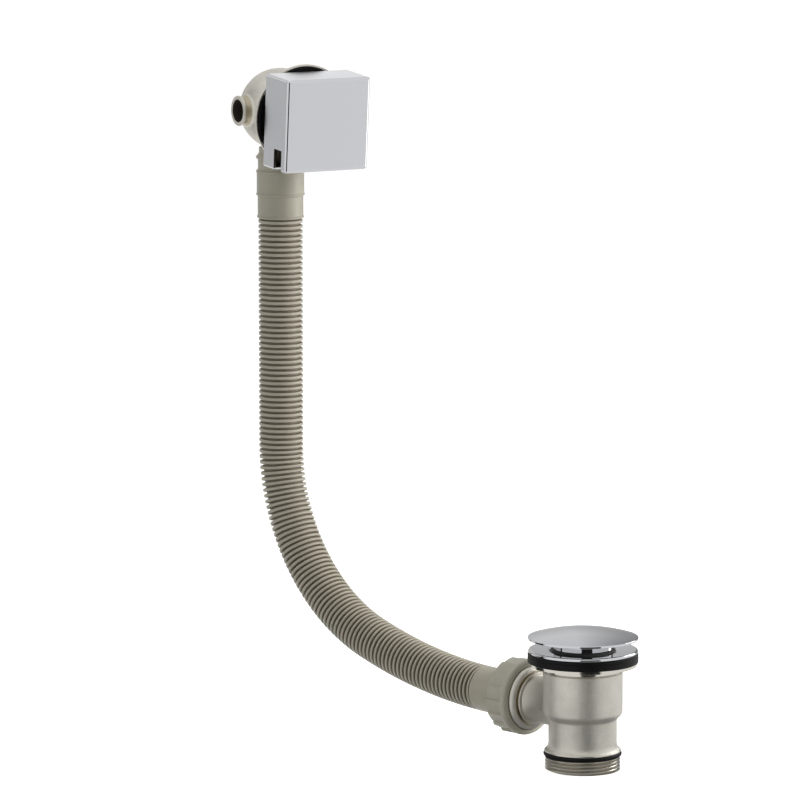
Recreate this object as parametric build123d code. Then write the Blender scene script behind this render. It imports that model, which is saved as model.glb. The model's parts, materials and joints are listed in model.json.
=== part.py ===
"""Bath waste and overflow filler: a click plug waste, a corrugated hose and a square overflow head."""
import os
from math import acos, atan2, cos, degrees, radians, sin, sqrt

from build123d import *

# All sizes are millimetres and degrees. Heights are from the waste flange's seat on the bath.

# Fits shared by several pieces
thread_clearance = 0.1
slip_clearance = 0.2
running_clearance = 0.25
stop_gap = 0.3

# Waste flange and its tail
flange_radius = 35.0
flange_rim = 2.2
flange_round = 1.4
flange_dish = 0.8
throat_radius = 20.2
mouth_round = 2.3
tail_wall = 2.2
tail_length = 23.5
spider_top = -8.0
spider_depth = 5.0
spider_hub_radius = 10.6
spider_arm = 4.0
spider_arms = 3

# Click plug: shut at rest with its seal in the flange's mouth, it rises by its travel to open
cap_radius = 35.25
cap_edge = 1.4
cap_dome = 5.3
cap_stand = 7.2
cap_boss_inset = 1.4
cap_boss_depth = 5.3
plug_travel = 5.8
plug_seal_reach = 1.0
plug_seal_bite = 1.3
plug_seal_stand = 0.8
plug_seal_slope = 1.0
plug_seal_lip = 0.8
plug_seal_toe = 1.4
plug_seal_depth = 2.7
stem_radius = 4.0
stem_socket = 5.0

# Click cartridge in the flange's spider
barrel_radius = 8.0
barrel_head = 1.6
barrel_length = 23.0
barrel_bore = 5.6
barrel_floor = 1.6
barrel_drain = 2.0
bush_depth = 2.0
latch_depth = 2.5
guide_depth = 4.0
spring_wire = 1.1
spring_turns = 5

# Seals either side of the bath floor
seal_radius = 35.2
top_seal_depth = 2.0
bottom_seal_depth = 4.1

# Cast waste body
body_flange_radius = 34.6
body_flange_depth = 2.0
body_radius = 25.4
body_shoulder = -39.1
lower_radius = 21.8
shoulder_fall = 4.1
outlet_bore = 19.2
outlet_collar_radius = 24.4
outlet_collar_depth = 1.0
outlet_flare_radius = 5.4
outlet_thread_radius = 23.9
outlet_thread_length = 9.1
outlet_end = -75.7
outlet_chamfer = 1.2
o_ring_wire = 3.0
o_ring_stretch = 0.3

# Side inlet and its union; distances are out from the waste axis
inlet_height = -36.0
inlet_turn = 16.0
inlet_radius = 15.0
inlet_bore = 12.2
inlet_step_radius = 17.2
inlet_step_at = 39.4
inlet_hub_at = 42.0
inlet_cone_radius = 18.4
inlet_thread_radius = 20.95
inlet_thread_at = 45.5
inlet_end = 57.0
hose_socket_depth = 8.7
nut_corner_radius = 24.7
nut_sides = 16
nut_start = 45.7
nut_wall = 2.0
nut_chamfer = 1.5
washer_depth = 3.0
washer_heel = 2.2
slip_ring_depth = 1.2

# Corrugated hose: straight into the union, a long approach arc, a main sweep, then straight up
hose_crest_radius = 14.75
hose_groove_radius = 13.0
hose_bore = 11.8
hose_spigot_radius = 13.6
hose_straight = 71.0
hose_approach_radius = 375.0
hose_approach_angle = 18.5
hose_sweep_radius = 126.0
hose_ribs = 116
hose_plain_end = 38.5
hose_plain_step = 8.0

# Overflow head: centred on the hose's upright end, its mouth and cover facing -Y and leaning down a little
head_height = 327.0
head_lean = 4.6
dome_radius = 27.0
neck_radius = 21.0
neck_end = 20.0
head_wall = 2.2
cup_radius = 34.8
cup_rim = 2.2
cup_front = 32.6
cup_lip = 1.0
cup_recess = 1.4
tail_pipe_radius = 12.6
tail_pipe_bore = 10.6
tail_pipe_length = 53.0

# Filling way cast in the head: a pipe socket at the side and a threaded boss to the front
fill_socket_radius = 9.1
fill_socket_bore = 7.55
fill_socket_depth = 14.0
fill_socket_reach = 31.5
fill_bead_radius = 10.0
fill_bead_depth = 1.6
fill_way_radius = 6.2
fill_boss_radius = 12.0
fill_boss_front = 29.5
fill_thread_radius = 9.2
fill_thread_depth = 11.0
fill_thread_entry = 9.0

# Pieces that clamp the bath wall, from the cup forwards; the gap for the wall is left open
wall_gasket_radius = 33.6
wall_gasket_bore = 26.5
wall_gasket_depth = 2.3
bath_wall = 3.1
face_gasket_radius = 28.0
face_gasket_bore = 24.0
face_gasket_depth = 1.4
plate_depth = 4.0
plate_corner = 2.0
plate_slot_inner = 14.5
plate_slot_outer = 22.5
plate_slots = 4
plate_slot_sweep = 62.0
spigot_washer_depth = 1.0
spigot_flats = 25.0
spigot_head_depth = 4.0
spigot_nose_radius = 8.5
spigot_nose_length = 6.0

# Square cover
cover_side = 61.2
cover_depth = 30.0
cover_wall = 2.0
cover_corner = 2.2
cover_front_round = 2.0
window_depth = 10.3
window_height = 12.0
window_from_front = 5.4
window_from_bottom = 2.2
spout_width = 40.0
spout_depth = 8.0
spout_from_front = 5.0
grub_radius = 2.0
grub_bite = 2.4
grub_hex = 2.0
grub_sunk = 0.3

# Moulded cuff that joins the hose to the head's tail pipe; heights are below the head's centre
cuff_top = 25.3
cuff_neck_radius = 14.2
cuff_neck_end = 29.4
cuff_upper_radius = 14.9
cuff_upper_end = 41.2
cuff_middle_radius = 15.7
cuff_middle_end = 56.9
cuff_lower_radius = 15.1
cuff_end = 72.4
cuff_collar_at = 31.9
cuff_collar_bead = 1.3
cuff_collar_width = 3.0
cuff_bead = 0.6
cuff_bead_width = 1.8

# Values worked out from those above
tail_radius = throat_radius + tail_wall
cap_lift = flange_rim - flange_dish + cap_stand
cap_boss_radius = throat_radius - cap_boss_inset
plug_spigot_radius = cap_boss_radius - plug_seal_bite
plug_seal_radius = throat_radius + plug_seal_reach
plug_seal_top = cap_lift - cap_boss_depth
plug_foot = plug_seal_top - plug_seal_depth
body_bore = tail_radius + thread_clearance
seal_bore = tail_radius + running_clearance
body_top = -(top_seal_depth + bottom_seal_depth)
outlet_groove_end = outlet_end + outlet_thread_length
outlet_groove_top = outlet_groove_end + o_ring_wire
guide_radius = barrel_bore - running_clearance
spring_radius = barrel_bore - running_clearance - spring_wire
latch_top = spider_top + barrel_head - bush_depth - stop_gap - plug_travel
guide_foot = latch_top - latch_depth - guide_depth
barrel_end = spider_top - barrel_length
hose_socket_floor = inlet_end - hose_socket_depth
nut_end = inlet_end + washer_depth + slip_ring_depth + nut_wall
bend_turn = 90.0 - hose_approach_angle
bend_reach = hose_straight + hose_approach_radius * sin(radians(hose_approach_angle))
bend_reach += hose_sweep_radius * (1.0 - sin(radians(hose_approach_angle)))
hose_top = head_height - tail_pipe_length - stop_gap
rib_top = head_height - cuff_end - stop_gap
cover_half = cover_side / 2
plate_half = cover_half - cover_wall - slip_clearance
wall_face = cup_front - cup_recess + wall_gasket_depth
wall_inside = wall_face + bath_wall
plate_back = wall_inside + face_gasket_depth
plate_front = plate_back + plate_depth
cover_front = wall_inside + cover_depth
spigot_seat = plate_front + spigot_washer_depth
tail_place = Pos(
    -bend_reach * sin(radians(inlet_turn)), bend_reach * cos(radians(inlet_turn)), head_height
)
head_place = tail_place * Rot(X=head_lean)
inlet_place = Pos(0, 0, inlet_height) * Rot(Z=inlet_turn)


def turned(outline, plane=Plane.XZ, axis=Axis.Z):
    """Solid turned about an axis from a closed half section; a list of points makes straight sides."""
    line = Polyline(*outline, close=True) if isinstance(outline, list) else outline
    return revolve(plane * make_face(line), axis)


def turned_level(outline):
    """Solid turned about Y from points given as radius and place along Y."""
    return turned(outline, Plane.XY, Axis.Y)


def ring(inner, outer, low, high):
    """Plain upright ring between two heights."""
    return turned([(inner, low), (outer, low), (outer, high), (inner, high)])


def ring_level(inner, outer, near, far):
    """Plain ring about Y between two places along it."""
    return turned_level([(inner, near), (outer, near), (outer, far), (inner, far)])


def rod_level(radius, near, far):
    """Plain round bar about Y between two places along it."""
    return turned_level([(0, near), (radius, near), (radius, far), (0, far)])


def waste_flange():
    """Round flange with a rolled mouth, a threaded tail and a spider that carries the click cartridge."""
    mouth_top = flange_rim - flange_dish
    mouth_edge = throat_radius + mouth_round
    half = mouth_round * sqrt(0.5)
    edge_half = flange_round * sqrt(0.5)
    edge = (flange_radius - flange_round, flange_rim - flange_round)
    section = Polyline((mouth_edge, mouth_top), (edge[0], flange_rim))
    section += ThreePointArc(
        (edge[0], flange_rim), (edge[0] + edge_half, edge[1] + edge_half), (flange_radius, edge[1])
    )
    section += Polyline(
        (flange_radius, edge[1]),
        (flange_radius, 0),
        (tail_radius, 0),
        (tail_radius, -tail_length),
        (throat_radius, -tail_length),
        (throat_radius, mouth_top - mouth_round),
    )
    section += ThreePointArc(
        (throat_radius, mouth_top - mouth_round),
        (mouth_edge - half, mouth_top - mouth_round + half),
        (mouth_edge, mouth_top),
    )
    shell = turned(section)
    low = spider_top - spider_depth
    arm_length = throat_radius + tail_wall / 2
    arm = Pos(arm_length / 2, 0, spider_top - spider_depth / 2) * Box(arm_length, spider_arm, spider_depth)
    spider = ring(0, spider_hub_radius, low, spider_top)
    for place in PolarLocations(0, spider_arms):
        spider += place * arm
    bore = ring(0, barrel_radius + thread_clearance, low, spider_top)
    return shell + spider - bore


def plug_cap():
    """Domed cap with a boss underneath that carries the seal and takes the stem."""
    rim_top = cap_lift + cap_edge
    dome = (cap_radius**2 + cap_dome**2) / (2 * cap_dome)
    socket = stem_radius + thread_clearance
    section = JernArc((0, rim_top + cap_dome), (1, 0), dome, -degrees(atan2(cap_radius, dome - cap_dome)))
    section += Polyline(
        section @ 1,
        (cap_radius, cap_lift),
        (cap_boss_radius, cap_lift),
        (cap_boss_radius, plug_seal_top),
        (plug_spigot_radius, plug_seal_top),
        (plug_spigot_radius, plug_foot),
        (socket, plug_foot),
        (socket, plug_foot + stem_socket),
        (0, plug_foot + stem_socket),
        (0, rim_top + cap_dome),
    )
    return turned(section)


def plug_seal():
    """Rubber ring round the cap's spigot, with a lip that shuts the flange's mouth."""
    inner = plug_spigot_radius + thread_clearance
    lip_top = plug_seal_top - plug_seal_slope
    return turned([
        (inner, plug_seal_top),
        (cap_boss_radius + plug_seal_stand, plug_seal_top),
        (plug_seal_radius, lip_top),
        (plug_seal_radius, lip_top - plug_seal_lip),
        (plug_seal_radius - plug_seal_toe, plug_foot),
        (inner, plug_foot),
    ])


def plunger():
    """Stem screwed into the cap, with the guide head that runs in the cartridge."""
    stem_top = plug_foot + stem_socket
    guide_top = guide_foot + guide_depth
    return turned([
        (0, stem_top),
        (stem_radius, stem_top),
        (stem_radius, guide_top),
        (guide_radius, guide_top),
        (guide_radius, guide_foot),
        (0, guide_foot),
    ])


def click_barrel():
    """Cartridge tube screwed into the spider, with a drained floor."""
    head_top = spider_top + barrel_head
    return turned([
        (barrel_bore, head_top),
        (spider_hub_radius, head_top),
        (spider_hub_radius, spider_top),
        (barrel_radius, spider_top),
        (barrel_radius, barrel_end),
        (barrel_drain, barrel_end),
        (barrel_drain, barrel_end + barrel_floor),
        (barrel_bore, barrel_end + barrel_floor),
    ])


def barrel_bush():
    """Bush in the cartridge's mouth that stops the plunger."""
    top = spider_top + barrel_head
    return ring(stem_radius + running_clearance, barrel_bore - thread_clearance, top - bush_depth, top)


def latch_ring():
    """Ring on the plunger's guide head that steps round at each push."""
    return ring(stem_radius + thread_clearance, guide_radius, latch_top - latch_depth, latch_top)


def click_spring():
    """Round wire spring between the cartridge's floor and the plunger's guide head."""
    low = barrel_end + barrel_floor + spring_wire / 2
    rise = guide_foot - low - spring_wire / 2 - thread_clearance
    coil = Helix(rise / spring_turns, rise, spring_radius)
    start = Plane(origin=coil @ 0, z_dir=coil % 0)
    return Pos(0, 0, low) * sweep(start * Circle(spring_wire / 2), coil, is_frenet=True)


def waste_body():
    """Cast tee: clamped flange, stepped barrel, threaded outlet and the side inlet for the hose."""
    shoulder_foot = body_shoulder - shoulder_fall
    collar_top = outlet_groove_top + outlet_collar_depth
    groove_floor = outlet_collar_radius - o_ring_wire + o_ring_stretch * 2
    flare_angle = acos(1.0 - (outlet_collar_radius - lower_radius) / outlet_flare_radius)
    flare_top = collar_top + outlet_flare_radius * sin(flare_angle)
    section = Polyline(
        (0, body_top),
        (body_flange_radius, body_top),
        (body_flange_radius, body_top - body_flange_depth),
        (body_radius, body_top - body_flange_depth),
        (body_radius, body_shoulder),
        (lower_radius, shoulder_foot),
        (lower_radius, flare_top),
    )
    section += JernArc((lower_radius, flare_top), (0, -1), outlet_flare_radius, degrees(flare_angle))
    section += Polyline(
        section @ 1,
        (outlet_collar_radius, outlet_groove_top),
        (groove_floor, outlet_groove_top),
        (groove_floor, outlet_groove_end),
        (outlet_thread_radius, outlet_groove_end),
        (outlet_thread_radius, outlet_end + outlet_chamfer),
        (outlet_thread_radius - outlet_chamfer, outlet_end),
        (0, outlet_end),
        (0, body_top),
    )
    barrel = turned(section)
    inlet = turned_level([
        (0, 0),
        (inlet_radius, 0),
        (inlet_radius, inlet_step_at),
        (inlet_step_radius, inlet_step_at),
        (inlet_step_radius, inlet_hub_at),
        (inlet_cone_radius, inlet_hub_at),
        (inlet_thread_radius, inlet_thread_at),
        (inlet_thread_radius, inlet_end),
        (0, inlet_end),
    ])
    bore = turned([
        (0, body_top),
        (body_bore, body_top),
        (body_bore, body_shoulder),
        (outlet_bore, shoulder_foot),
        (outlet_bore, outlet_end),
        (0, outlet_end),
    ])
    way = rod_level(inlet_bore, 0, inlet_end)
    way += rod_level(hose_crest_radius + slip_clearance, hose_socket_floor, inlet_end)
    return barrel + inlet_place * inlet - bore - inlet_place * way


def outlet_o_ring():
    """O-ring in the groove above the outlet thread."""
    radius = outlet_collar_radius - o_ring_wire / 2 + o_ring_stretch * 2
    return Pos(0, 0, (outlet_groove_top + outlet_groove_end) / 2) * Torus(radius, o_ring_wire / 2)


def union_nut():
    """Moulded nut with flat sides that draws the hose on to the side inlet."""
    hole = hose_crest_radius + slip_clearance
    wall_start = nut_end - nut_wall
    blank = turned_level([
        (inlet_thread_radius + thread_clearance, nut_start),
        (nut_corner_radius - nut_chamfer, nut_start),
        (nut_corner_radius, nut_start + nut_chamfer),
        (nut_corner_radius, nut_end - nut_chamfer),
        (nut_corner_radius - nut_chamfer, nut_end),
        (hole, nut_end),
        (hole, wall_start),
        (inlet_thread_radius + thread_clearance, wall_start),
    ])
    sides = Plane.XZ * RegularPolygon(nut_corner_radius, nut_sides)
    return blank & extrude(sides, -nut_end)


def union_washer():
    """Rubber wedge washer squeezed on to the hose by the nut."""
    bore = hose_crest_radius + thread_clearance
    far = inlet_end + washer_depth
    return turned_level([
        (bore, inlet_end),
        (inlet_thread_radius - washer_heel, inlet_end),
        (inlet_thread_radius - thread_clearance, far),
        (bore, far),
    ])


def slip_ring():
    """Plain ring that lets the nut turn against the washer."""
    near = inlet_end + washer_depth
    return ring_level(
        hose_crest_radius + slip_clearance, inlet_thread_radius, near, near + slip_ring_depth
    )


def hose_route():
    """Centre line of the hose from the union's socket to the head's tail pipe, and the bend's normal."""
    out = Vector(-sin(radians(inlet_turn)), cos(radians(inlet_turn)), 0)
    plane = Plane(origin=(0, 0, 0), x_dir=out, z_dir=out.cross(Vector(0, 0, 1)))
    with BuildLine(plane) as route:
        Line((hose_socket_floor, inlet_height), (hose_straight, inlet_height))
        JernArc(route.line @ 1, route.line % 1, hose_approach_radius, hose_approach_angle)
        JernArc(route.line @ 1, route.line % 1, hose_sweep_radius, bend_turn)
        Line(route.line @ 1, (bend_reach, hose_top))
    return route.wire(), plane.z_dir


def hose():
    """Corrugated hose with a plain end for the union and a plain spigot inside the cuff."""
    route, normal = hose_route()
    rib_end = route.length - (hose_top - rib_top)
    pitch = (rib_end - hose_plain_end) / hose_ribs
    plain_count = int(hose_plain_end / hose_plain_step)
    sections = [(hose_plain_end * step / plain_count, hose_crest_radius) for step in range(plain_count)]
    for rib in range(hose_ribs):
        sections.append((hose_plain_end + rib * pitch, hose_crest_radius))
        sections.append((hose_plain_end + (rib + 0.5) * pitch, hose_groove_radius))
    sections.append((rib_end, hose_spigot_radius))
    sections.append((route.length, hose_spigot_radius))
    circles = []
    for distance, radius in sections:
        along = distance / route.length
        across = Plane(origin=route @ along, x_dir=normal, z_dir=route % along)
        circles.append(across * Circle(radius))
    first = Plane(origin=route @ 0, x_dir=normal, z_dir=route % 0)
    return loft(circles, ruled=True) - sweep(first * Circle(hose_bore), route)


def hose_top_cuff():
    """Moulded cuff over the head's tail pipe and the hose's end, with grip beads round it."""
    inner = tail_pipe_radius + thread_clearance
    step = -(tail_pipe_length + stop_gap)
    socket = hose_spigot_radius + thread_clearance
    cuff = turned([
        (inner, -cuff_top),
        (cuff_neck_radius, -cuff_top),
        (cuff_neck_radius, -cuff_neck_end),
        (cuff_upper_radius, -cuff_neck_end),
        (cuff_upper_radius, -cuff_upper_end),
        (cuff_middle_radius, -cuff_upper_end),
        (cuff_middle_radius, -cuff_middle_end),
        (cuff_lower_radius, -cuff_middle_end),
        (cuff_lower_radius, -cuff_end),
        (socket, -cuff_end),
        (socket, step),
        (inner, step),
    ])
    beads = [
        (cuff_collar_at, cuff_upper_radius, cuff_collar_bead, cuff_collar_width),
        (cuff_upper_end, cuff_middle_radius, cuff_bead, cuff_bead_width),
        (cuff_middle_end, cuff_middle_radius, cuff_bead, cuff_bead_width),
        (cuff_end - cuff_bead_width / 2, cuff_lower_radius, cuff_bead, cuff_bead_width),
    ]
    for depth, radius, stand, width in beads:
        root = radius - stand / 2
        bead = turned([
            (root, width / 2),
            (radius, width / 2),
            (radius + stand, width / 4),
            (radius + stand, -width / 4),
            (radius, -width / 2),
            (root, -width / 2),
        ])
        cuff += Pos(0, 0, -depth) * bead
    return tail_place * cuff


def bell(radius, neck, mouth_radius, mouth):
    """Round bell about Y: a ball, a waist in front of it and a cone that opens to the mouth."""
    waist = -sqrt(radius**2 - neck**2)
    section = ThreePointArc((0, radius), (radius, 0), (neck, waist))
    section += Polyline(
        section @ 1, (neck, -neck_end), (mouth_radius, -mouth), (0, -mouth), (0, radius)
    )
    return turned_level(section)


def overflow_body():
    """Cast bell with a tail pipe below, a pipe socket at the side and the filling way inside."""
    floor = cup_front - cup_recess
    outer = bell(dome_radius, neck_radius, cup_radius, cup_front - cup_rim)
    outer += rod_level(cup_radius, -cup_front, -(cup_front - cup_rim))
    hollow = bell(dome_radius - head_wall, neck_radius - head_wall, wall_gasket_bore, floor)
    recess = rod_level(cup_radius - cup_lip, -cup_front, -floor)
    upright = Rot(X=-head_lean)
    tail = upright * ring(0, tail_pipe_radius, -tail_pipe_length, 0)
    tail_way = upright * ring(0, tail_pipe_bore, -tail_pipe_length, 0)
    socket = Rot(Z=90) * rod_level(fill_socket_radius, 0, fill_socket_reach)
    bead = Rot(Z=90) * rod_level(fill_bead_radius, fill_socket_reach - fill_bead_depth, fill_socket_reach)
    socket_way = Rot(Z=90) * rod_level(
        fill_socket_bore, fill_socket_reach - fill_socket_depth, fill_socket_reach
    )
    way = Rot(Z=90) * rod_level(fill_way_radius, 0, fill_socket_reach)
    boss = rod_level(fill_boss_radius, -fill_boss_front, fill_boss_radius)
    way += rod_level(fill_way_radius, -fill_boss_front, 0)
    way += rod_level(
        fill_thread_radius + thread_clearance, -fill_boss_front, fill_thread_depth - fill_boss_front
    )
    cast = outer + tail + socket + bead - hollow - recess - tail_way
    cast += (boss + socket) & outer
    return head_place * (cast - way - socket_way)


def wall_gasket():
    """Thick rubber ring in the cup's rim, against the outside of the bath."""
    return head_place * ring_level(
        wall_gasket_bore, wall_gasket_radius, -wall_face, wall_gasket_depth - wall_face
    )


def face_gasket():
    """Thin foam ring behind the clamp plate, against the inside of the bath."""
    return head_place * ring_level(face_gasket_bore, face_gasket_radius, -plate_back, -wall_inside)


def clamp_plate():
    """Square plate with drain slots that the cover pushes over."""
    sketch = RectangleRounded(2 * plate_half, 2 * plate_half, plate_corner)
    sketch -= Circle(fill_thread_radius + slip_clearance)
    middle = (plate_slot_inner + plate_slot_outer) / 2
    for index in range(plate_slots):
        angle = 360.0 * index / plate_slots
        arc = CenterArc((0, 0), middle, angle - plate_slot_sweep / 2, plate_slot_sweep)
        sketch -= SlotArc(arc, plate_slot_outer - plate_slot_inner)
    plate = Pos(0, -plate_back, 0) * extrude(Plane.XZ * sketch, plate_depth)
    dimple = Cylinder(grub_radius + thread_clearance, grub_bite)
    low = grub_bite / 2 - plate_half
    return head_place * (plate - Pos(0, -(plate_back + plate_front) / 2, low) * dimple)


def fill_spigot():
    """Hollow threaded spigot whose six-sided head holds the clamp plate to the head."""
    thread = rod_level(fill_thread_radius, -spigot_seat, fill_thread_entry - fill_boss_front)
    head_front = spigot_seat + spigot_head_depth
    hexagon = RegularPolygon(spigot_flats / 2, 6, major_radius=False)
    head = Pos(0, -spigot_seat, 0) * extrude(Plane.XZ * hexagon, spigot_head_depth)
    nose = rod_level(spigot_nose_radius, -(head_front + spigot_nose_length), -head_front)
    way = rod_level(fill_way_radius, -(head_front + spigot_nose_length), 0)
    return head_place * (thread + head + nose - way)


def spigot_washer():
    """Flat washer under the spigot's head."""
    return head_place * ring_level(
        fill_thread_radius + slip_clearance, spigot_flats / 2, -spigot_seat, -plate_front
    )


def cover():
    """Square box cover, open behind, with overflow windows at the sides and a spout slot below."""
    box = Box(cover_side, cover_depth, cover_side)
    box = fillet(box.edges().filter_by(Axis.Y), cover_corner)
    box = fillet(box.faces().sort_by(Axis.Y)[0].edges(), cover_front_round)
    inside = cover_side - 2 * cover_wall
    hollow = Box(inside, cover_depth, inside)
    hollow = fillet(hollow.edges().filter_by(Axis.Y), cover_corner - cover_wall / 2)
    shell = box - Pos(0, cover_wall, 0) * hollow
    front = -cover_depth / 2
    window = Box(2 * cover_side, window_depth, window_height)
    window_low = window_from_bottom + window_height / 2 - cover_half
    shell -= Pos(0, front + window_from_front + window_depth / 2, window_low) * window
    spout = Box(spout_width, spout_depth, 2 * cover_wall)
    shell -= Pos(0, front + spout_from_front + spout_depth / 2, cover_wall / 2 - cover_half) * spout
    grub_y = cover_front - (plate_back + plate_front) / 2 + front
    grub_hole = Cylinder(grub_radius + thread_clearance, 2 * cover_wall)
    shell -= Pos(0, grub_y, cover_wall / 2 - cover_half) * grub_hole
    return head_place * Pos(0, -cover_front - front, 0) * shell


def grub_screw():
    """Socket set screw through the cover's floor into the clamp plate's edge."""
    low = grub_sunk - cover_half
    top = grub_bite - plate_half - stop_gap
    screw = ring(0, grub_radius, low, top)
    socket = Pos(0, 0, low) * extrude(RegularPolygon(grub_hex / 2, 6, major_radius=False), grub_hex)
    return head_place * Pos(0, -(plate_back + plate_front) / 2, 0) * (screw - socket)


nodes = {
    "waste_flange": waste_flange(),
    "plug_cap": plug_cap(),
    "plug_seal": plug_seal(),
    "plunger": plunger(),
    "click_barrel": click_barrel(),
    "barrel_bush": barrel_bush(),
    "latch_ring": latch_ring(),
    "click_spring": click_spring(),
    "top_seal": ring(seal_bore, seal_radius, -top_seal_depth, 0),
    "bottom_seal": ring(seal_bore, seal_radius, body_top, -top_seal_depth),
    "waste_body": waste_body(),
    "outlet_o_ring": outlet_o_ring(),
    "union_nut": inlet_place * union_nut(),
    "union_washer": inlet_place * union_washer(),
    "slip_ring": inlet_place * slip_ring(),
    "hose": hose(),
    "hose_top_cuff": hose_top_cuff(),
    "overflow_body": overflow_body(),
    "wall_gasket": wall_gasket(),
    "face_gasket": face_gasket(),
    "clamp_plate": clamp_plate(),
    "fill_spigot": fill_spigot(),
    "spigot_washer": spigot_washer(),
    "cover": cover(),
    "grub_screw": grub_screw(),
}

os.makedirs("parts", exist_ok=True)
for name, piece in nodes.items():
    export_step(piece, f"parts/{name}.step")
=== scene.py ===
"""Looks of the bath waste and overflow: chrome, blasted nickel, black rubber and a corrugated hose."""

import json
from math import asin, atan2, cos, pi, radians, sin, tan

import bpy
from mathutils import Matrix, Vector

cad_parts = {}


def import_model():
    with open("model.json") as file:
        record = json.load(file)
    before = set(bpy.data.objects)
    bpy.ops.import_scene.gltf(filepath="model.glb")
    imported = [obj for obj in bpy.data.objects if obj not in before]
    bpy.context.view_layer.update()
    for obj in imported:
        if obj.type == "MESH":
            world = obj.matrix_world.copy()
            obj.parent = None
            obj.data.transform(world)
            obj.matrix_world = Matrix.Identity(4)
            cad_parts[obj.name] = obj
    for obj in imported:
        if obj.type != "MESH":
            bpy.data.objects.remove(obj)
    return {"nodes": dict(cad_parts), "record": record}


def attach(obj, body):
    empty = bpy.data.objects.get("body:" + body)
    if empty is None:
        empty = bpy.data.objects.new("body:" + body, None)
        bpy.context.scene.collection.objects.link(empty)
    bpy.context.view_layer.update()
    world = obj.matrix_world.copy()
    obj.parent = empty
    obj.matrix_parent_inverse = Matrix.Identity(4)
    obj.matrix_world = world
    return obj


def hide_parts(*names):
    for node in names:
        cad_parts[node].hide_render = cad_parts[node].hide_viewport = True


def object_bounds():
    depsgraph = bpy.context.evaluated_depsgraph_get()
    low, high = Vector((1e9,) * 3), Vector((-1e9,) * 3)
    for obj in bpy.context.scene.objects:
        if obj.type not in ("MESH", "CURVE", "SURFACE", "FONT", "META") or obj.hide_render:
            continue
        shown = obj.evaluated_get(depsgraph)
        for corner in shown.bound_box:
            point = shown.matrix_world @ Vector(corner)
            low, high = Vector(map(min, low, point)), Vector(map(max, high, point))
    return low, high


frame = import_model()
cad_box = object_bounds()
MM = 0.001

# Camera: a long lens at the photograph's viewing angle, with the waste's top at its place in the picture
IMAGE_PIXELS = 800.0
SENSOR_MM = 36.0
FOCAL_PIXELS = 5674.0
CAMERA_TURN = radians(-29.0)
CAMERA_TILT = radians(8.5)
CAMERA_DISTANCE = 3.6
AIM_POINT = Vector((0.0, 0.0, 2.0 * MM))
AIM_PIXEL = (583.0, 649.0)

# Inlet of the waste: the way it points, its height from the flange's seat, and how a spun piece lies along it
INLET_TURN = radians(16.0)
INLET_HEIGHT = -36.0 * MM
INLET_OUT = Vector((-sin(INLET_TURN), cos(INLET_TURN), 0.0))
INLET_PLACE = (0.0, 0.0, INLET_HEIGHT)
INLET_LAY = (-pi / 2, 0.0, INLET_TURN)

# Hose route, as in the solids: distances out from the waste's axis and heights from the flange's seat
HOSE_START = 48.3 * MM
HOSE_STRAIGHT = 71.0 * MM
APPROACH_RADIUS = 375.0 * MM
APPROACH_ANGLE = radians(18.5)
SWEEP_RADIUS = 126.0 * MM
HOSE_TOP = 273.7 * MM
RIB_TOP = 254.3 * MM

# Hose wall: its radii, with deeper grooves than in the solids, its lower plain end and its ribs
HOSE_CREST = 14.75 * MM
HOSE_GROOVE = 12.4 * MM
HOSE_BORE = 11.8 * MM
HOSE_SPIGOT = 13.6 * MM
HOSE_PLAIN_END = 38.5 * MM
HOSE_RIBS = 116
HOSE_SIDES = 60
# How far above the groove floor the ribs take the darker plastic of painted groove shade
GROOVE_SHADE = 1.5 * MM

# Overflow head: the ball's centre, the lean of its mouth, and the turn from there to its left
HEAD_PLACE = (-76.078 * MM, 265.317 * MM, 327.0 * MM)
HEAD_LEAN = radians(4.6)
TOWARDS_LEFT = -pi / 2

# Modelling: facets in a full turn, the distance at which points are merged, and how near a point is on a line
SIDES = 128
WELD = 0.004 * MM
NEAR = 0.01 * MM

# Studio: the object's middle, the light on dull surfaces, the floor, and where a card's glow climbs
STUDIO_MIDDLE = Vector((-0.04, 0.13, 0.14))
DULL_LIGHT = 0.28
FLOOR_GLOW = 0.74
FLOOR_SIZE = 24.0
CLIMB_SPAN = (-0.24, 0.05)
WHITE = (1.0, 1.0, 1.0, 1.0)


# Materials

def linear(text):
    """Linear colour from an sRGB hex value."""
    parts = [int(text[place:place + 2], 16) / 255 for place in (1, 3, 5)]
    return [part / 12.92 if part <= 0.04045 else ((part + 0.055) / 1.055) ** 2.4 for part in parts] + [1.0]


def add(tree, kind, inputs=None, **settings):
    """Adds a node with its settings, its plain values and its links."""
    node = tree.nodes.new(kind)
    for name, value in settings.items():
        setattr(node, name, value)
    for socket, value in (inputs or {}).items():
        if isinstance(value, bpy.types.NodeSocket):
            tree.links.new(value, node.inputs[socket])
        else:
            node.inputs[socket].default_value = value
    return node


def new_material(name):
    """Empty node material with a Principled shader on its output."""
    material = bpy.data.materials.new(name)
    material.use_nodes = True
    tree = material.node_tree
    return material, tree, tree.nodes["Principled BSDF"]


def noise(tree, size, detail=2.0):
    """Soft noise whose blotches have a real size."""
    place = add(tree, "ShaderNodeTexCoord")
    inputs = {"Vector": place.outputs["Object"], "Scale": 1 / size, "Detail": detail}
    return add(tree, "ShaderNodeTexNoise", inputs).outputs["Fac"]


def set_gloss(tree, shader, pattern, sharpest, dullest):
    """Lets the roughness follow a pattern between two values."""
    gloss = add(tree, "ShaderNodeMapRange", {"Value": pattern, "To Min": sharpest, "To Max": dullest})
    tree.links.new(gloss.outputs["Result"], shader.inputs["Roughness"])


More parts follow.
